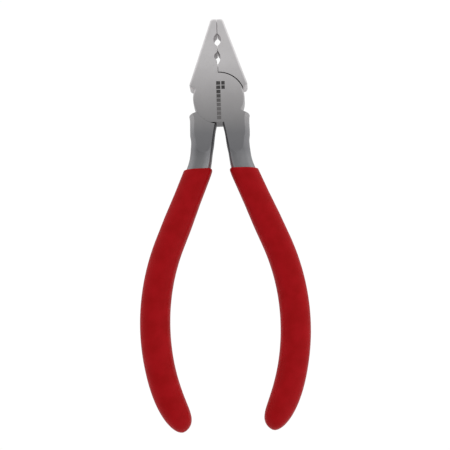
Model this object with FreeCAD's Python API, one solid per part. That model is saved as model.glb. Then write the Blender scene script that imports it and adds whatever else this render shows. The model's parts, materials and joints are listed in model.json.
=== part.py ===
import FreeCAD, Part

# Crimping pliers for jewellery wire, lying on their back face with the jaws closed.
#
# Frame, in millimetres: +Z runs up the rivet, from the back face of the joint to its front face, +Y runs
# from the rivet to the tips of the jaws, and +X is to the right as seen from above. The origin is on the
# rivet's axis, in the plane of the joint's back face, which is the plane that the pliers lie on.
#
# Two steel halves cross in a lap joint. The front half is the left jaw, the upper cheek of the joint and
# the right handle. The rear half is the right jaw, the lower cheek and the left handle. One rivet, ground
# flush at both ends, is fast in the front half and turns in the rear half. Each handle is dipped in PVC.

import math
import os

V = FreeCAD.Vector
UP = V(0, 0, 1)
ALONG = V(0, 1, 0)

# Joint
JOINT_R = 8.15         # radius of both cheeks
JOINT_T = 9.2          # thickness over both cheeks
MID_Z = JOINT_T / 2    # plane where the cheeks meet
LAP_GAP_Z = 0.03       # each cheek's clearance from the plane where they meet
JAW_LAP_GAP = 0.32     # between a cheek's rim and the other half's jaw
HANDLE_LAP_GAP = 0.03  # between a cheek's rim and the other half's handle
RIM_ROUND = 0.55       # rounding on the rims where they show in the side notches
RIM_ROUND_DEG = (-29.4, 23.0)  # and the angles on the right that it runs between; the left mirrors them
CROTCH_Y = -7.6        # the cheeks are cut off flat here, between the handles

# Jaws
TIP_Y = 25.65          # rivet axis to the tips
TIP_HALF_W = 1.85      # one jaw's width at the tip, measured from the parting line
TIP_T = 8.2            # thickness over the tip
SHOULDER_HALF_W = 9.55 # where the outer side would meet the underside, before the corner is rounded
SHOULDER_Y = 3.45
SHOULDER_SLOPE = 0.1   # the underside climbs this much outwards
JAW_SHOULDER_ROUND = 1.1
JAW_GAP = 0.12         # between the closed jaws
JAW_EDGE_ROUND = 0.6   # long outer edges
JAW_TIP_ROUND = 1.05   # corner between the tip and the outer side, in plan
JAW_MOUTH_BEVEL = 0.16 # bevel along the edges that meet at the parting line
TAPER_START_Y = 6.0    # the faces start to fall away here
TAPER_BLEND = 7.5      # length of the round between the joint's flat and the taper

# Crimping nests, cut through both jaws along Z
ROUND_NEST_Y = 18.85   # the outer nest closes a folded crimp into a round
ROUND_NEST_LENGTH = 4.1
ROUND_NEST_DEPTH = 1.2
FOLD_NEST_Y = 13.05    # the inner nest folds a crimp: a groove faces two scallops with a tooth between them
FOLD_NEST_LENGTH = 4.5
FOLD_NEST_DEPTH = 0.87
FOLD_SCALLOPS = ((13.45, 1.37, 1.07), (11.55, 0.87, 0.42))  # middle, radius and depth of each
FOLD_TOOTH_BACK = 0.33 # the tooth's tip stops this far short of the parting line

# Rivet
RIVET_R = 2.2
RIVET_HEAD_R = 3.2
RIVET_HEAD_DEPTH = 1.1
RIVET_RUNNING_GAP = 0.05

# Handles: below the neck, the middle of each one leans out in a straight line, then follows one arc to its end
LEAN_DEG = 22.6
NECK_Y = -22.8         # the straight stretch starts here, and the neck above it bends back towards the joint
NECK_R = 16.0
BOW_R = 68.0
BOW_CENTRE = (-46.0, -71.5)
BOW_END_DEG = -27.9    # angle on the bow where the steel ends
SHANK_W = 6.9
SHANK_T = 7.0
NECK_EXTRA_W = 0.35    # the steel is this much wider at the neck
NECK_FADE = 9.0        # and narrows over this length
PALM_EXTRA_W = 0.4     # the steel is this much wider where the hand closes on it
BARE_POWER = 5.0       # how square the bare steel is on the side that faces the other handle
OUTER_POWER = 2.5      # and on the outer side
COVERED_POWER = 2.8    # how square the steel is on both sides inside the grip
HANDLE_SHOULDER = ((5.5, -3.5), (9.75, -5.15), (10.05, -8.0))  # its upper end beside the cheek, then its side
HANDLE_SHOULDER_ROUND = 0.9
END_LENGTH = 22.0      # each handle rounds off over this length
OUTER_END_POWER = 3.5  # early on its outer side
INNER_END_POWER = 9.0  # and late on its inner side
BARE_SECTIONS = (      # middle x and y, lean in degrees, width, thickness before the joint is ground flat
    (5.12, 0.5, 0, 9.3, 11.4),
    (5.15, -5.0, 1, 9.15, 11.2),
    (5.35, -8.8, 3, 8.2, 10.8),
    (5.60, -12.8, 6, 7.45, 10.3),
    (5.92, -16.0, 8, 7.0, 9.5),
)
NECK_SECTIONS = (      # place along the handle, width, thickness, squareness of the inner side
    (-3.5, 7.05, 8.4, 4.2),
    (-1.5, 7.2, 7.8, 3.4),
)

# PVC grips
GRIP_TOP_Y = -22.0     # both were dipped to this line
GRIP_WALL = 1.1
GRIP_LIP_WALL = 0.6    # the wall is thinner at the dip line
GRIP_LIP_LENGTH = 18.0 # and thickens over this length
GRIP_POWER = 2.5
GRIP_TOP_POWER = 3.5   # the inner side is squarer at the dip line
GRIP_TOP_FADE = 25.0   # over this length

# Lofts
SECTION_POINTS = 24
COVERED_STATIONS = (2, 9, 18, 28, 38, 48, 56)  # places along the handle, below the neck
GRIP_STATIONS = (-6, -3, 0, 3, 7, 12, 18, 28, 38, 48, 56)
END_SHARES = (0, 0.3, 0.5, 0.65, 0.77, 0.86, 0.93, 0.97, 0.99, 0.999)  # shares of END_LENGTH

HUGE = 200.0           # further than the pliers reach
CLEAR = 3.0            # cutting shapes reach this far past what they cut
CLOSE = 0.05           # points nearer than this are taken to be in the same place


def prism(wire, z0, z1):
    """The solid over a flat closed wire at z = 0, from z0 to z1."""
    face = Part.Face(wire)
    face.translate(V(0, 0, z0))
    return face.extrude(V(0, 0, z1 - z0))


def outline(points):
    """A closed wire through points in the XY plane."""
    corners = [V(x, y, 0) for x, y in points]
    return Part.makePolygon(corners + corners[:1])


def below(y):
    """Everything nearer the handles than y."""
    return Part.makeBox(2 * HUGE, HUGE, 2 * HUGE, V(-HUGE, y - HUGE, -HUGE))


def flip(shape):
    """The shape turned half a turn about the line that runs along +Y at mid thickness."""
    turned = shape.copy()
    turned.rotate(V(0, 0, MID_Z), ALONG, 180)
    return turned


def edges_where(shape, test):
    """The edges whose every vertex and middle point pass the test."""
    found = []
    for edge in shape.Edges:
        middle = edge.valueAt((edge.FirstParameter + edge.LastParameter) / 2)
        if all(test(p) for p in [middle] + [v.Point for v in edge.Vertexes]):
            found.append(edge)
    return found


# Jaws and cheeks

def side_profile():
    """What the jaws and cheeks are ground to, seen from the side: flat over the joint, then a taper."""
    run = TIP_Y - TAPER_START_Y - TAPER_BLEND / 2
    drop = (JOINT_T - TIP_T) / 2
    slope = drop / run
    bend_y = TAPER_START_Y + TAPER_BLEND
    bend_drop = slope * TAPER_BLEND / 2
    angle = math.atan(slope)
    blend_r = TAPER_BLEND / math.sin(angle)
    half_way_y = TAPER_START_Y + blend_r * math.sin(angle / 2)
    half_way_drop = blend_r * (1 - math.cos(angle / 2))
    end_y = TIP_Y + CLEAR
    end_drop = drop + CLEAR * slope

    def face_line(sign):
        def at(y, lower):
            return V(0, y, MID_Z + sign * (MID_Z - lower))
        return [
            Part.makeLine(at(-HUGE, 0), at(TAPER_START_Y, 0)),
            Part.Arc(at(TAPER_START_Y, 0), at(half_way_y, half_way_drop), at(bend_y, bend_drop)).toShape(),
            Part.makeLine(at(bend_y, bend_drop), at(end_y, end_drop)),
        ]

    upper, lower = face_line(1), face_line(-1)
    ends = [
        Part.makeLine(upper[-1].Vertexes[-1].Point, lower[-1].Vertexes[-1].Point),
        Part.makeLine(upper[0].Vertexes[0].Point, lower[0].Vertexes[0].Point),
    ]
    wire = Part.Wire(Part.__sortEdges__(upper + lower + ends))
    face = Part.Face(wire)
    face.translate(V(-HUGE, 0, 0))
    return face.extrude(V(2 * HUGE, 0, 0))


def jaw(profile):
    """The front half's jaw, on -X, with its outer edges rounded. Its root lies inside the cheek."""
    parting_x = -JAW_GAP / 2
    root_y = SHOULDER_Y - SHOULDER_SLOPE * SHOULDER_HALF_W
    plan = outline([
        (parting_x, root_y),
        (parting_x, TIP_Y),
        (-TIP_HALF_W, TIP_Y),
        (-SHOULDER_HALF_W, SHOULDER_Y),
    ])
    body = prism(plan, -CLEAR, JOINT_T + CLEAR)
    tip_corner = edges_where(body, lambda p: p.y > TIP_Y - CLOSE and p.x < CLOSE - TIP_HALF_W)
    body = body.makeFillet(JAW_TIP_ROUND, tip_corner)
    shoulder_corner = edges_where(body, lambda p: p.x < CLOSE - SHOULDER_HALF_W)
    body = body.makeFillet(JAW_SHOULDER_ROUND, shoulder_corner)
    body = body.common(profile)

    def on_a_face(p):
        return abs(p.z - MID_Z) > TIP_T / 2 - CLOSE

    outer = edges_where(body, lambda p: on_a_face(p) and p.x < parting_x - CLOSE and p.y > SHOULDER_Y)
    body = body.makeFillet(JAW_EDGE_ROUND, outer)
    mouth = edges_where(body, lambda p: on_a_face(p) and abs(p.x - parting_x) < CLOSE)
    return body.makeChamfer(JAW_MOUTH_BEVEL, mouth)


def rim_cutter(start_deg, end_deg):
    """Rounds the upper rim of a cheek between two angles about the rivet."""
    r, z = JOINT_R, JOINT_T
    low, high = z - RIM_ROUND, z + CLEAR
    outside, inside = r + RIM_ROUND, r - RIM_ROUND
    half_way = RIM_ROUND * (1 - math.sqrt(0.5))
    wire = Part.Wire([
        Part.Arc(V(r, 0, low), V(r - half_way, 0, z - half_way), V(inside, 0, z)).toShape(),
        Part.makeLine(V(inside, 0, z), V(inside, 0, high)),
        Part.makeLine(V(inside, 0, high), V(outside, 0, high)),
        Part.makeLine(V(outside, 0, high), V(outside, 0, low)),
        Part.makeLine(V(outside, 0, low), V(r, 0, low)),
    ])
    face = Part.Face(wire)
    face.rotate(V(0, 0, 0), UP, start_deg)
    return face.revolve(V(0, 0, 0), UP, end_deg - start_deg)


# Handles

def bow_top():
    lean = math.radians(LEAN_DEG)
    return V(BOW_CENTRE[0] + BOW_R * math.cos(lean), BOW_CENTRE[1] + BOW_R * math.sin(lean), 0)


STRAIGHT_LENGTH = (NECK_Y - bow_top().y) / math.cos(math.radians(LEAN_DEG))
STEEL_LENGTH = STRAIGHT_LENGTH + BOW_R * math.radians(LEAN_DEG - BOW_END_DEG)


def spine(s):
    """Point and lean on the right handle's middle line, s below the neck, or above it where s is negative."""
    lean = math.radians(LEAN_DEG)
    if s > STRAIGHT_LENGTH:
        angle = lean - (s - STRAIGHT_LENGTH) / BOW_R
        return V(BOW_CENTRE[0] + BOW_R * math.cos(angle), BOW_CENTRE[1] + BOW_R * math.sin(angle), 0), angle
    back = STRAIGHT_LENGTH - max(s, 0)
    middle = bow_top() + V(-back * math.sin(lean), back * math.cos(lean), 0)
    if s >= 0:
        return middle, lean
    angle = lean + s / NECK_R
    rise = V(math.cos(lean) - math.cos(angle), math.sin(lean) - math.sin(angle), 0)
    return middle + rise * NECK_R, angle


def fade(s, start, length):
    """1 up to start, falling to 0 over length."""
    return min(max(1 - (s - start) / length, 0), 1)


def steel_width(s):
    share = min(max(s / STEEL_LENGTH, 0), 1)
    return SHANK_W + NECK_EXTRA_W * fade(s, 0, NECK_FADE) + PALM_EXTRA_W * math.sin(math.pi * share ** 1.5) ** 2


def section(middle, lean, width, thickness, inner_power, outer_power):
    """A closed rounded section across the handle, squarer on its inner side where inner_power is larger."""
    points = []
    for i in range(SECTION_POINTS):
        turn = 2 * math.pi * i / SECTION_POINTS
        c, s = math.cos(turn), math.sin(turn)
        power = outer_power if c > 0 else inner_power
        across = width / 2 * math.copysign(abs(c) ** (2 / power), c)
        up = thickness / 2 * math.copysign(abs(s) ** (2 / power), s)
        points.append(V(
            middle.x + across * math.cos(lean),
            middle.y + across * math.sin(lean),
            MID_Z + up,
        ))
    curve = Part.BSplineCurve()
    curve.interpolate(Points=points, PeriodicFlag=True)
    return Part.Wire(curve.toShape())


def end_sections(end, width, thickness, power):
    """Sections that round a handle off, blunter on its inner side than on its outer side."""
    wires = []
    for share in END_SHARES:
        s = end - END_LENGTH * (1 - share)
        middle, lean = spine(s)
        outer = width / 2 * math.sqrt(1 - share ** OUTER_END_POWER)
        inner = width / 2 * math.sqrt(1 - share ** INNER_END_POWER)
        middle = middle + V(math.cos(lean), math.sin(lean), 0) * ((outer - inner) / 2)
        wires.append(section(middle, lean, outer + inner, thickness * 2 * inner / width, power, power))
    return wires


def shank():
    """The steel of the right handle: bare near the joint, then a plain bar inside the grip."""
    wires = []
    for x, y, lean, width, thickness in BARE_SECTIONS:
        wires.append(section(V(x, y, 0), math.radians(lean), width, thickness, BARE_POWER, OUTER_POWER))
    for s, width, thickness, power in NECK_SECTIONS:
        wires.append(section(*spine(s), width, thickness, power, OUTER_POWER))
    for s in COVERED_STATIONS:
        wires.append(section(*spine(s), steel_width(s), SHANK_T, COVERED_POWER, COVERED_POWER))
    wires += end_sections(STEEL_LENGTH, steel_width(STEEL_LENGTH - END_LENGTH), SHANK_T, COVERED_POWER)
    return Part.makeLoft(wires, True, False)


def half_blank():
    """The front half before its nest grooves and rivet hole are cut."""
    profile = side_profile()
    lap_z = MID_Z + LAP_GAP_Z

    def room_for_other_cheek(gap):
        return Part.makeCylinder(JOINT_R + gap, lap_z + CLEAR, V(0, 0, -CLEAR))

    inner, corner, side = HANDLE_SHOULDER
    far_x = corner[0] + CLEAR
    notch = prism(
        outline([inner, corner, side, (far_x, side[1]), (far_x, JOINT_R), (inner[0], JOINT_R)]),
        -CLEAR, JOINT_T + CLEAR,
    )
    notch_edge = edges_where(notch, lambda p: p.distanceToPoint(V(*corner, p.z)) < CLOSE)
    notch = notch.makeFillet(HANDLE_SHOULDER_ROUND, notch_edge)
    handle = shank().cut(notch).cut(room_for_other_cheek(HANDLE_LAP_GAP))

    cheek = Part.makeCylinder(JOINT_R, JOINT_T + CLEAR - lap_z, V(0, 0, lap_z)).cut(below(CROTCH_Y))
    body = handle.fuse(cheek).common(profile)
    body = body.fuse(jaw(profile).cut(room_for_other_cheek(JAW_LAP_GAP))).removeSplitter()

    low_deg, high_deg = RIM_ROUND_DEG
    body = body.cut(rim_cutter(low_deg, high_deg))
    return body.cut(rim_cutter(180 - high_deg, 180 - low_deg))


# Crimping nests

def groove(y, length, depth, side):
    """A round-bottomed groove through a jaw along Z. side is -1 for the front half's jaw, +1 for the rear's."""
    r = (length ** 2 / 4 + depth ** 2) / (2 * depth)
    return Part.makeCylinder(r, JOINT_T + 2 * CLEAR, V(side * (depth - r), y, -CLEAR))


def double_groove():
    """Two scallops in the front half's jaw with a blunt tooth between them."""
    height = JOINT_T + 2 * CLEAR
    upper_y, lower_y = [y for y, _, _ in FOLD_SCALLOPS]
    blunting = Part.makeBox(
        2 * FOLD_TOOTH_BACK, upper_y - lower_y, height,
        V(-FOLD_TOOTH_BACK, lower_y, -CLEAR),
    )
    scallops = [Part.makeCylinder(r, height, V(r - depth, y, -CLEAR)) for y, r, depth in FOLD_SCALLOPS]
    return blunting.fuse(scallops)


# Rivet

def rivet_solid(gap):
    """The rivet, or with a gap the hole that it turns in."""
    head = RIVET_HEAD_R + gap
    shank_r = RIVET_R + gap
    lower = Part.makeCone(head, shank_r, RIVET_HEAD_DEPTH)
    upper = Part.makeCone(shank_r, head, RIVET_HEAD_DEPTH, V(0, 0, JOINT_T - RIVET_HEAD_DEPTH))
    return Part.makeCylinder(shank_r, JOINT_T).fuse([lower, upper]).removeSplitter()


# PVC grips

def grip_outside():
    """The outside of the right grip, longer at the top than the dipped length."""
    dip_s = NECK_Y - GRIP_TOP_Y
    end = STEEL_LENGTH + GRIP_WALL
    wires = []
    for s in GRIP_STATIONS:
        wall = GRIP_WALL - (GRIP_WALL - GRIP_LIP_WALL) * fade(s, dip_s, GRIP_LIP_LENGTH)
        inner_power = GRIP_POWER + (GRIP_TOP_POWER - GRIP_POWER) * fade(s, dip_s, GRIP_TOP_FADE)
        wires.append(section(*spine(s), steel_width(s) + 2 * wall, SHANK_T + 2 * wall, inner_power, GRIP_POWER))
    width = steel_width(end - END_LENGTH) + 2 * GRIP_WALL
    wires += end_sections(end, width, SHANK_T + 2 * GRIP_WALL, GRIP_POWER)
    return Part.makeLoft(wires, True, False)


def grip(steel):
    """The right grip: a closed sleeve that fits its half's steel and stops at the dip line."""
    slab = Part.makeBox(2 * HUGE, 2 * HUGE, JOINT_T, V(-HUGE, -HUGE, 0))
    return grip_outside().common(below(GRIP_TOP_Y)).common(slab).cut(steel)


def main():
    blank = half_blank()
    rivet = rivet_solid(0)
    grip_body = grip(blank)

    front = blank.cut(rivet)
    front = front.cut(groove(ROUND_NEST_Y, ROUND_NEST_LENGTH, ROUND_NEST_DEPTH, -1))
    front = front.cut(double_groove())

    rear = flip(blank).cut(rivet_solid(RIVET_RUNNING_GAP))
    rear = rear.cut(groove(ROUND_NEST_Y, ROUND_NEST_LENGTH, ROUND_NEST_DEPTH, 1))
    rear = rear.cut(groove(FOLD_NEST_Y, FOLD_NEST_LENGTH, FOLD_NEST_DEPTH, 1))

    nodes = {
        "front_half": front,
        "rear_half": rear,
        "pivot_rivet": rivet,
        "right_grip": grip_body,
        "left_grip": flip(grip_body),
    }
    os.makedirs("parts", exist_ok=True)
    for name, shape in nodes.items():
        shape.exportStep(os.path.join("parts", name + ".step"))


main()
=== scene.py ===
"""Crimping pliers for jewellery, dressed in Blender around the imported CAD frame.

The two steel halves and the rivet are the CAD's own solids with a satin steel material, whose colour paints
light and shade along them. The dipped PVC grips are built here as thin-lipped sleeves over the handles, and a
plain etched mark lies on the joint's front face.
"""

import json
import math

import bpy
from mathutils import Matrix, Vector

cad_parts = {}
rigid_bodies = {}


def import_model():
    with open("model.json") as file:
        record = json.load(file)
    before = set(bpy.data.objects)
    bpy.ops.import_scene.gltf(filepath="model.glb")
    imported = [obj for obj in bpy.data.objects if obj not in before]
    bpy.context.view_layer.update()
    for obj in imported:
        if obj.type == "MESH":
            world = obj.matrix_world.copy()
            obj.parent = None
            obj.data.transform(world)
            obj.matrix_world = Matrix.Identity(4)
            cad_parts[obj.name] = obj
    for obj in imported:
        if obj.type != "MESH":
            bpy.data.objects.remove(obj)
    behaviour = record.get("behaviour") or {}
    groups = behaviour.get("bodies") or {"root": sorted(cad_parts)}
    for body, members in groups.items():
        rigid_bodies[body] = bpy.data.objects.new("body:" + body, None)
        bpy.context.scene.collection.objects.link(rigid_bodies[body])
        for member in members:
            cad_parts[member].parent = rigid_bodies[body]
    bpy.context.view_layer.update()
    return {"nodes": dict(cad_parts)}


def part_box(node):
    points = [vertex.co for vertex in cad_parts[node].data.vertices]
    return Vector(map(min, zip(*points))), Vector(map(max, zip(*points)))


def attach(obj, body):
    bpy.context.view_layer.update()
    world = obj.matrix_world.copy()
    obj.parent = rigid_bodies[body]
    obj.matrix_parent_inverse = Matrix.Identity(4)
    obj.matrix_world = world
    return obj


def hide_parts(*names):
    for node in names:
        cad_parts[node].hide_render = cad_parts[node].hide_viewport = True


MM = 0.001

for leftover in list(bpy.data.objects):
    bpy.data.objects.remove(leftover)

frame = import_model()
JOINT_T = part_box("pivot_rivet")[1].z / MM
MID_Z = JOINT_T / 2

# Handles, in millimetres, as in the CAD: a neck arc, a straight stretch, then one long bow
LEAN = math.radians(22.6)
NECK_Y = -22.8
NECK_R = 16.0
BOW_R = 68.0
BOW_CENTRE = Vector((-46.0, -71.5))
BOW_END = math.radians(-27.9)
SHANK_W = 6.9
SHANK_T = 7.0
NECK_EXTRA_W = 0.35
NECK_FADE = 9.0
PALM_EXTRA_W = 0.4
PALM_POWER = 1.5       # how far down the handle the palm's extra width sits
END_LENGTH = 22.0
OUTER_END_POWER = 3.5
INNER_END_POWER = 9.0

# Grip skins
DIP_Y = -22.0          # the line that the handles were dipped to
WALL = 1.1
LIP_WALL = 0.6
LIP_LENGTH = 18.0      # the wall thickens over this length
LIP_ROUND = 0.45       # the lip rounds over from the steel in this length
SUNK = 0.12            # the inner surface lies this far inside the steel's surface
SKIN_POWER = 2.5       # section exponent
SKIN_TOP_POWER = 3.5   # the inner side is squarer near the lip
SKIN_TOP_FADE = 25.0
STEEL_POWER = 2.8
AROUND = 96
LIP_RINGS = 6
SIDE_RINGS = 130
END_RINGS = 40
HIDDEN_RINGS = 50
DIP_SEARCH = (-12.0, 8.0)  # the dip line lies between these places on every column
DIP_STEPS = 40             # halvings of that stretch

# Etched mark: a column of plain bars down the joint's front face, with a short second column beside its top
MARK_X = -0.05
MARK_TOP_Y = 5.4
MARK_PITCH = 1.38
MARK_BARS = 9
MARK_SIDE_BARS = 2
MARK_SIDE_STEP = 1.5
MARK_W = 1.3
MARK_SIDE_W = 1.1
MARK_H = 1.15
MARK_RISE = 0.012      # half of the bars' height, with the steel's surface half way up

# Colours. The steel's tone, which paints light on the jaws and shade on the handles, and the mark's tone run
# along Y between two places, in metres.
STEEL_PAINTED_LIGHT_Y = (-0.021, 0.012)
# painted light and shade along Y: a painted highlight on the jaws, painted shade on the tangs' flats below the
# joint, lifted by painted light on their slopes
STEEL_PAINTED_LIGHT_TONES = (
    (0.00, (0.375, 0.376, 0.388)),
    (0.07, (0.360, 0.361, 0.374)),
    (0.14, (0.300, 0.300, 0.314)),
    (0.30, (0.335, 0.334, 0.347)),
    (0.45, (0.475, 0.466, 0.471)),
    (0.66, (0.655, 0.637, 0.641)),
    (0.85, (0.830, 0.808, 0.815)),
    (1.00, (0.930, 0.906, 0.913)),
)
STEEL_CLOUD = (0.25, 0.245, 0.25)
STEEL_PIT = (0.20, 0.195, 0.20)
PVC_DARK = (0.452, 0.0024, 0.0050)
PVC_LIGHT = (0.520, 0.0042, 0.0088)
ETCH_TONE_Y = (-0.002, 0.002)
ETCH_LOW = (0.23, 0.22, 0.22)
ETCH_TOP = (0.065, 0.062, 0.062)
ETCH_WORN = (0.32, 0.31, 0.31)

# Stage
FLOOR_HALF = 1.5
FLOOR_TONE = 0.8
FLOOR_MOTTLE = 0.02
FLOOR_GLOW = 1.02      # how bright the camera sees the floor
FLOOR_LIFT = 0.26      # light that comes up from the floor onto the object
OVERHEAD = 0.46        # surround overhead
SIDE_GAIN = 0.27       # and how much brighter it is at the sides,
BACK_GAIN = 0.35       # beyond the jaws,
RIGHT_GAIN = 0.05      # and on the right; the left is darker by as much
HIGH_LIGHT = ((0.22, -0.26, 0.60), 0.30, 0.15)   # place, size and power
LOW_LIGHT = ((0.50, -0.30, 0.25), 0.30, 0.15)
CAMERA_AIM = Vector((0.76, -39.82, 4.6)) * MM
CAMERA_DISTANCE = 0.6
CAMERA_ELEVATION = math.radians(83.0)
CAMERA_SIDE = 0.010    # the camera stands this far to the right
CAMERA_ROLL = math.radians(1.62)
PICTURE_WIDTH = 0.1418 # what the picture takes in at the aim point


# Geometry helpers

def bow_point(angle):
    return BOW_CENTRE + BOW_R * Vector((math.cos(angle), math.sin(angle)))


STRAIGHT_LENGTH = (NECK_Y - bow_point(LEAN).y) / math.cos(LEAN)
STEEL_LENGTH = STRAIGHT_LENGTH + BOW_R * (LEAN - BOW_END)
SKIN_LENGTH = STEEL_LENGTH + WALL
DIP_S = NECK_Y - DIP_Y


def spine(s):
    """Point and lean on the right handle's middle line, s millimetres below the neck."""
    if s > STRAIGHT_LENGTH:
        angle = LEAN - (s - STRAIGHT_LENGTH) / BOW_R
        return bow_point(angle), angle
    back = STRAIGHT_LENGTH - max(s, 0)
    middle = bow_point(LEAN) + back * Vector((-math.sin(LEAN), math.cos(LEAN)))
    if s >= 0:
        return middle, LEAN
    angle = LEAN + s / NECK_R
    rise = Vector((math.cos(LEAN) - math.cos(angle), math.sin(LEAN) - math.sin(angle)))
    return middle + NECK_R * rise, angle


def clamp(x, low=0.0, high=1.0):
    return max(low, min(high, x))


def fade(s, start, length):
    """1 up to start, falling to 0 over length."""
    return clamp(1 - (s - start) / length)


def steel_width(s):
    share = clamp(s / STEEL_LENGTH)
    neck = NECK_EXTRA_W * fade(s, 0, NECK_FADE)
    palm = PALM_EXTRA_W * math.sin(math.pi * share ** PALM_POWER) ** 2
    return SHANK_W + neck + palm


def signed_power(x, power):
    return math.copysign(abs(x) ** power, x)


def section_point(s, turn, wall, length, power):
    """A point on the right handle's section s below the neck: steel with a wall round it, ending at length."""
    middle, lean = spine(s)
    half_w = steel_width(min(s, length - END_LENGTH)) / 2 + wall
    half_t = min(SHANK_T / 2 + wall, MID_Z)
    share = clamp(1 - (length - s) / END_LENGTH)
    outer = half_w * math.sqrt(1 - share ** OUTER_END_POWER)
    inner = half_w * math.sqrt(1 - share ** INNER_END_POWER)
    c, n = math.cos(turn), math.sin(turn)
    across = signed_power(c, 2 / power) * (outer + inner) / 2 + (outer - inner) / 2
    up = signed_power(n, 2 / power) * half_t * inner / half_w
    return Vector((
        middle.x + across * math.cos(lean),
        middle.y + across * math.sin(lean),
        MID_Z + up,
    ))


def skin_point(s, turn, rise=1.0):
    """A point on the right grip's outside. rise is 0 at the steel's surface and 1 at the wall's full height."""
    wall = WALL - (WALL - LIP_WALL) * fade(s, DIP_S, LIP_LENGTH)
    power = SKIN_POWER
    if math.cos(turn) < 0:
        power += (SKIN_TOP_POWER - SKIN_POWER) * fade(s, DIP_S, SKIN_TOP_FADE)
    return section_point(s, turn, (wall + SUNK) * rise - SUNK, SKIN_LENGTH, power)


def dip_line(turn):
    """How far along the spine this column of the skin crosses the dip line."""
    low, high = DIP_SEARCH
    for _ in range(DIP_STEPS):
        half = (low + high) / 2
        if skin_point(half, turn).y > DIP_Y:
            low = half
        else:
            high = half
    return low


def mesh_object(name, verts, faces, material):
    mesh = bpy.data.meshes.new(name)
    mesh.from_pydata([v * MM for v in verts], [], faces)
    mesh.validate()
    mesh.update()
    for face in mesh.polygons:
        face.use_smooth = True
    mesh.materials.append(material)
    piece = bpy.data.objects.new(name, mesh)
    bpy.context.scene.collection.objects.link(piece)
    return piece


def tube(rings, first, last):
    """Vertices and faces of a closed tube through rings of points, ending on the points first and last."""
    count = len(rings[0])
    verts = [first] + [point for ring in rings for point in ring] + [last]
    faces = []
    for i in range(len(rings) - 1):
        start = 1 + i * count
        for k in range(count):
            nxt = (k + 1) % count
            faces.append((start + k, start + count + k, start + count + nxt, start + nxt))
    end_start = 1 + (len(rings) - 1) * count
    for k in range(count):
        nxt = (k + 1) % count
        faces.append((0, 1 + k, 1 + nxt))
        faces.append((end_start + k, len(verts) - 1, end_start + nxt))
    return verts, faces


def grip_skin(name, side, material):
    """The sleeve on one handle: side is +1 for the right handle and -1 for the left."""
    turns = [2 * math.pi * k / AROUND for k in range(AROUND)]
    dips = [dip_line(turn) for turn in turns]
    hidden_end = STEEL_LENGTH - SUNK
    skin_body = SKIN_LENGTH - END_LENGTH

    def ring(share, end, point):
        return [point(dip + (end - dip) * share, turn) for turn, dip in zip(turns, dips)]

    def end_share(i, count):
        return math.sin(math.pi / 2 * i / count)

    def hidden_point(s, turn):
        return section_point(s, turn, -SUNK, hidden_end, STEEL_POWER)

    rings = []
    for i in reversed(range(1, HIDDEN_RINGS)):
        rings.append(ring(end_share(i, HIDDEN_RINGS), hidden_end, hidden_point))
    for i in range(LIP_RINGS):
        quarter = math.pi / 2 * i / LIP_RINGS
        depth, rise = LIP_ROUND * (1 - math.cos(quarter)), math.sin(quarter)
        rings.append([skin_point(dip + depth, turn, rise) for turn, dip in zip(turns, dips)])
    for i in range(SIDE_RINGS):
        share = i / SIDE_RINGS
        rings.append([
            skin_point((dip + LIP_ROUND) * (1 - share) + skin_body * share, turn)
            for turn, dip in zip(turns, dips)
        ])
    for i in range(END_RINGS):
        s = skin_body + END_LENGTH * end_share(i, END_RINGS)
        rings.append([skin_point(s, turn) for turn in turns])
    verts, faces = tube(rings, hidden_point(hidden_end, 0.0), skin_point(SKIN_LENGTH, 0.0))
    verts = [Vector((side * v.x, v.y, v.z)) for v in verts]
    if side < 0:
        faces = [tuple(reversed(face)) for face in faces]
    return mesh_object(name, verts, faces, material)


# Node helpers

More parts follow.
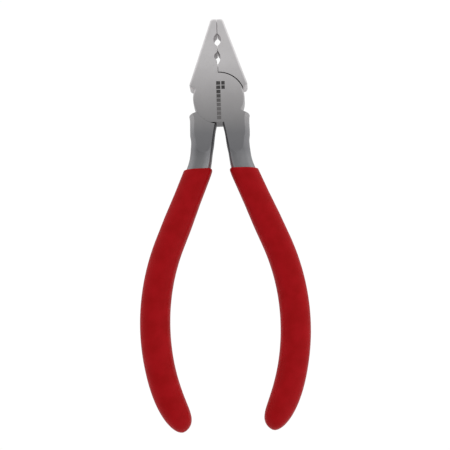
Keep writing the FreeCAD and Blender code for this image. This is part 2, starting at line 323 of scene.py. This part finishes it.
class Nodes:
    """Adds nodes to a material and links them."""

    def __init__(self, material):
        material.use_nodes = True
        self.tree = material.node_tree
        self.tree.nodes.clear()
        self.output = self.add("ShaderNodeOutputMaterial")
        self.shader = self.add("ShaderNodeBsdfPrincipled")
        self.link(self.shader, "BSDF", self.output, "Surface")
        self.coords = self.add("ShaderNodeTexCoord")

    def add(self, kind, **settings):
        node = self.tree.nodes.new(kind)
        for key, value in settings.items():
            setattr(node, key, value)
        return node

    def link(self, a, out, b, into):
        self.tree.links.new(a.outputs[out], b.inputs[into])

    def noise(self, scale, detail=3.0, roughness=0.5, stretch=(1, 1, 1)):
        mapping = self.add("ShaderNodeMapping")
        mapping.inputs["Scale"].default_value = [x * scale for x in stretch]
        self.link(self.coords, "Object", mapping, "Vector")
        noise = self.add("ShaderNodeTexNoise")
        noise.inputs["Scale"].default_value = 1.0
        noise.inputs["Detail"].default_value = detail
        noise.inputs["Roughness"].default_value = roughness
        self.link(mapping, "Vector", noise, "Vector")
        return noise

    def span(self, source, out, low, high, to_low, to_high):
        """source rescaled from low..high to to_low..to_high, clamped."""
        node = self.add("ShaderNodeMapRange", interpolation_type="SMOOTHSTEP")
        node.inputs["From Min"].default_value = low
        node.inputs["From Max"].default_value = high
        node.inputs["To Min"].default_value = to_low
        node.inputs["To Max"].default_value = to_high
        self.link(source, out, node, "Value")
        return node

    def stops(self, source, out, low, high, colours):
        """A colour that runs through (share, colour) stops as source goes from low to high."""
        place = self.add("ShaderNodeMapRange")
        place.inputs["From Min"].default_value = low
        place.inputs["From Max"].default_value = high
        self.link(source, out, place, "Value")
        node = self.add("ShaderNodeValToRGB")
        ramp = node.color_ramp
        while len(ramp.elements) < len(colours):
            ramp.elements.new(0.5)
        for element, (share, colour) in zip(ramp.elements, colours):
            element.position = share
            element.color = (*colour, 1.0)
        self.link(place, "Result", node, "Fac")
        return node

    def mix(self, factor, out, a, b):
        """A colour between a and b. Each is a colour or a (node, output) pair."""
        node = self.add("ShaderNodeMix", data_type="RGBA")
        self.link(factor, out, node, "Factor")
        for name, value in (("A", a), ("B", b)):
            socket = [s for s in node.inputs if s.name == name and s.type == "RGBA"][0]
            if isinstance(value[0], bpy.types.Node):
                self.tree.links.new(value[0].outputs[value[1]], socket)
            else:
                socket.default_value = (*value, 1.0)
        return node

    def colour_out(self, node):
        return [s for s in node.outputs if s.type == "RGBA"][0]

    def bump(self, height, out, distance, strength=1.0, under=None):
        node = self.add("ShaderNodeBump")
        node.inputs["Strength"].default_value = strength
        node.inputs["Distance"].default_value = distance
        self.link(height, out, node, "Height")
        if under is not None:
            self.link(under, "Normal", node, "Normal")
        return node


# Materials

def steel_material():
    """Satin ground steel with fine grinding marks. Its colour holds painted light and shade: a painted
    highlight, lightest on the jaws, and painted shade, darkest on the handles' bare tangs, with a little
    painted light again on the tangs' slopes near the grips.
    """
    material = bpy.data.materials.new("satin_steel_painted_light")
    n = Nodes(material)
    place = n.add("ShaderNodeSeparateXYZ")
    n.link(n.coords, "Object", place, "Vector")
    # painted light and shade: the base colour runs along Y from a painted highlight on the jaws to painted
    # shade on the tangs
    tone = n.stops(place, "Y", *STEEL_PAINTED_LIGHT_Y, STEEL_PAINTED_LIGHT_TONES)
    cloud = n.noise(260, detail=3)
    shade = n.span(cloud, "Fac", 0.3, 0.7, 0.0, 0.06)
    tone = n.mix(shade, "Result", (tone, "Color"), STEEL_CLOUD)
    speck = n.noise(2600, detail=4, roughness=0.65)
    pits = n.span(speck, "Fac", 0.56, 0.74, 0.0, 0.16)
    tone = n.mix(pits, "Result", (tone, "Result"), STEEL_PIT)
    n.tree.links.new(n.colour_out(tone), n.shader.inputs["Base Color"])
    n.shader.inputs["Metallic"].default_value = 1.0

    rough = n.span(speck, "Fac", 0.3, 0.7, 0.36, 0.43)
    n.link(rough, "Result", n.shader, "Roughness")
    lines = n.noise(9000, detail=2, stretch=(1, 0.035, 1))
    grain = n.noise(5200, detail=3)
    relief = n.bump(lines, "Fac", 0.000012, strength=0.3)
    relief = n.bump(grain, "Fac", 0.00001, strength=0.3, under=relief)
    n.link(relief, "Normal", n.shader, "Normal")
    return material


def pvc_material():
    """Semi-matt dipped PVC, with the slight mottle and soft ripple of a dipped coat."""
    material = bpy.data.materials.new("dipped_pvc")
    n = Nodes(material)
    mottle = n.noise(260, detail=4)
    shade = n.span(mottle, "Fac", 0.3, 0.7, 0.0, 1.0)
    tone = n.mix(shade, "Result", PVC_DARK, PVC_LIGHT)
    n.tree.links.new(n.colour_out(tone), n.shader.inputs["Base Color"])
    patch = n.noise(700, detail=3)
    rough = n.span(patch, "Fac", 0.3, 0.7, 0.38, 0.48)
    n.link(rough, "Result", n.shader, "Roughness")
    n.shader.inputs["Specular IOR Level"].default_value = 0.12
    ripple = n.noise(330, detail=2)
    pores = n.noise(5200, detail=2)
    relief = n.bump(ripple, "Fac", 0.00010, strength=0.45)
    relief = n.bump(pores, "Fac", 0.000012, strength=0.35, under=relief)
    n.link(relief, "Normal", n.shader, "Normal")
    return material


def etch_material():
    """The mark's dark etch, rubbed paler down its lower half."""
    material = bpy.data.materials.new("dark_etch")
    n = Nodes(material)
    place = n.add("ShaderNodeSeparateXYZ")
    n.link(n.coords, "Object", place, "Vector")
    tone = n.stops(place, "Y", *ETCH_TONE_Y, ((0.0, ETCH_LOW), (1.0, ETCH_TOP)))
    wear = n.noise(2600, detail=4)
    shade = n.span(wear, "Fac", 0.35, 0.7, 0.0, 0.4)
    tone = n.mix(shade, "Result", (tone, "Color"), ETCH_WORN)
    n.tree.links.new(n.colour_out(tone), n.shader.inputs["Base Color"])
    n.shader.inputs["Metallic"].default_value = 0.8
    rough = n.span(wear, "Fac", 0.3, 0.7, 0.45, 0.6)
    n.link(rough, "Result", n.shader, "Roughness")
    return material


# Pieces

def etched_mark(material):
    """Thin plain bars, half sunk in the joint's front face."""
    low_z, high_z = JOINT_T - MARK_RISE, JOINT_T + MARK_RISE
    verts, faces = [], []
    for row in range(MARK_BARS):
        top = MARK_TOP_Y - row * MARK_PITCH
        for column in range(2 if row < MARK_SIDE_BARS else 1):
            width = MARK_SIDE_W if column else MARK_W
            left = MARK_X + column * MARK_SIDE_STEP - width / 2
            right = left + width
            base = len(verts)
            for z in (low_z, high_z):
                for x, y in ((left, top - MARK_H), (right, top - MARK_H), (right, top), (left, top)):
                    verts.append(Vector((x, y, z)))
            faces.append(tuple(base + k for k in (3, 2, 1, 0)))
            faces.append(tuple(base + k for k in (4, 5, 6, 7)))
            for k in range(4):
                nxt = (k + 1) % 4
                faces.append((base + k, base + nxt, base + 4 + nxt, base + 4 + k))
    piece = mesh_object("etched_mark", verts, faces, material)
    for face in piece.data.polygons:
        face.use_smooth = False
    return piece


# Stage: pale floor, soft studio light, camera

def floor():
    """A pale sheet that the camera sees as plain white. A weak glow of its own lights the object from below."""
    a = FLOOR_HALF
    mesh = bpy.data.meshes.new("floor")
    mesh.from_pydata([(-a, -a, 0), (a, -a, 0), (a, a, 0), (-a, a, 0)], [], [(0, 1, 2, 3)])
    material = bpy.data.materials.new("pale_floor")
    n = Nodes(material)
    grain = n.noise(14, detail=2)
    shade = n.span(grain, "Fac", 0.3, 0.7, 0.0, 1.0)
    tone = n.mix(shade, "Result", (FLOOR_TONE,) * 3, (FLOOR_TONE + FLOOR_MOTTLE,) * 3)
    n.tree.links.new(n.colour_out(tone), n.shader.inputs["Base Color"])
    n.shader.inputs["Roughness"].default_value = 0.9
    n.shader.inputs["Specular IOR Level"].default_value = 0.1
    n.shader.inputs["Emission Color"].default_value = (1.0, 1.0, 1.0, 1.0)
    n.shader.inputs["Emission Strength"].default_value = FLOOR_LIFT
    glow = n.add("ShaderNodeEmission")
    glow.inputs["Strength"].default_value = FLOOR_GLOW
    path = n.add("ShaderNodeLightPath")
    seen = n.add("ShaderNodeMixShader")
    n.link(path, "Is Camera Ray", seen, 0)
    n.link(n.shader, "BSDF", seen, 1)
    n.link(glow, "Emission", seen, 2)
    n.link(seen, "Shader", n.output, "Surface")
    mesh.materials.append(material)
    piece = bpy.data.objects.new("floor", mesh)
    bpy.context.scene.collection.objects.link(piece)


def softbox(name, place, size, power):
    """A square soft light that faces the middle of the pliers."""
    data = bpy.data.lights.new(name, "AREA")
    data.size = size
    data.energy = power
    light = bpy.data.objects.new(name, data)
    light.location = place
    light.rotation_mode = "QUATERNION"
    light.rotation_quaternion = (CAMERA_AIM - Vector(place)).to_track_quat("-Z", "Y")
    bpy.context.scene.collection.objects.link(light)


def studio_world():
    """A soft surround: dim overhead, and brighter at the sides, beyond the jaws and on the right."""
    world = bpy.data.worlds.new("studio")
    bpy.context.scene.world = world
    world.use_nodes = True
    tree = world.node_tree
    tree.nodes.clear()
    out = tree.nodes.new("ShaderNodeOutputWorld")
    background = tree.nodes.new("ShaderNodeBackground")
    tree.links.new(background.outputs[0], out.inputs[0])
    coords = tree.nodes.new("ShaderNodeTexCoord")
    axes = tree.nodes.new("ShaderNodeSeparateXYZ")
    tree.links.new(coords.outputs["Generated"], axes.inputs[0])

    def ramp(axis, low, high, to_low, to_high):
        node = tree.nodes.new("ShaderNodeMapRange")
        node.interpolation_type = "SMOOTHSTEP"
        for name, value in (("From Min", low), ("From Max", high), ("To Min", to_low), ("To Max", to_high)):
            node.inputs[name].default_value = value
        tree.links.new(axes.outputs[axis], node.inputs["Value"])
        return node.outputs["Result"]

    def add(a, b):
        node = tree.nodes.new("ShaderNodeMath")
        tree.links.new(a, node.inputs[0])
        tree.links.new(b, node.inputs[1])
        return node.outputs[0]

    sides = ramp("Z", 0.35, 0.97, OVERHEAD + SIDE_GAIN, OVERHEAD)
    beyond_jaws = ramp("Y", 0.12, 0.45, 0.0, BACK_GAIN)
    on_the_right = ramp("X", -0.7, 0.7, -RIGHT_GAIN, RIGHT_GAIN)
    tree.links.new(add(add(sides, beyond_jaws), on_the_right), background.inputs["Strength"])


def camera():
    data = bpy.data.cameras.new("camera")
    data.sensor_width = 36.0
    data.lens = data.sensor_width * CAMERA_DISTANCE / PICTURE_WIDTH
    data.clip_start = 0.01
    data.clip_end = 10.0
    away = Vector((0, -math.cos(CAMERA_ELEVATION), math.sin(CAMERA_ELEVATION))) * CAMERA_DISTANCE
    place = CAMERA_AIM + away + Vector((CAMERA_SIDE, 0, 0))
    ahead = (CAMERA_AIM - place).normalized()
    right = ahead.cross(Vector((0, 1, 0))).normalized()
    up = right.cross(ahead)
    c, s = math.cos(CAMERA_ROLL), math.sin(CAMERA_ROLL)
    turn = Matrix((c * right - s * up, s * right + c * up, -ahead)).transposed()
    eye = bpy.data.objects.new("camera", data)
    eye.matrix_world = Matrix.Translation(place) @ turn.to_4x4()
    bpy.context.scene.collection.objects.link(eye)
    bpy.context.scene.camera = eye


# Dress the frame

steel = steel_material()
for node in ("front_half", "rear_half", "pivot_rivet"):
    for slot in frame["nodes"][node].material_slots:
        slot.material = steel

pvc = pvc_material()
for name, side, body, node in (
    ("right_grip_skin", 1, "front", "right_grip"),
    ("left_grip_skin", -1, "rear", "left_grip"),
):
    skin = grip_skin(name, side, pvc)
    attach(skin, body)
    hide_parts(node)

mark = etched_mark(etch_material())
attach(mark, "front")

floor()
studio_world()
softbox("high_light", *HIGH_LIGHT)
softbox("low_light", *LOW_LIGHT)
camera()
view = bpy.context.scene.view_settings
view.view_transform = "Standard"
view.look = "None"
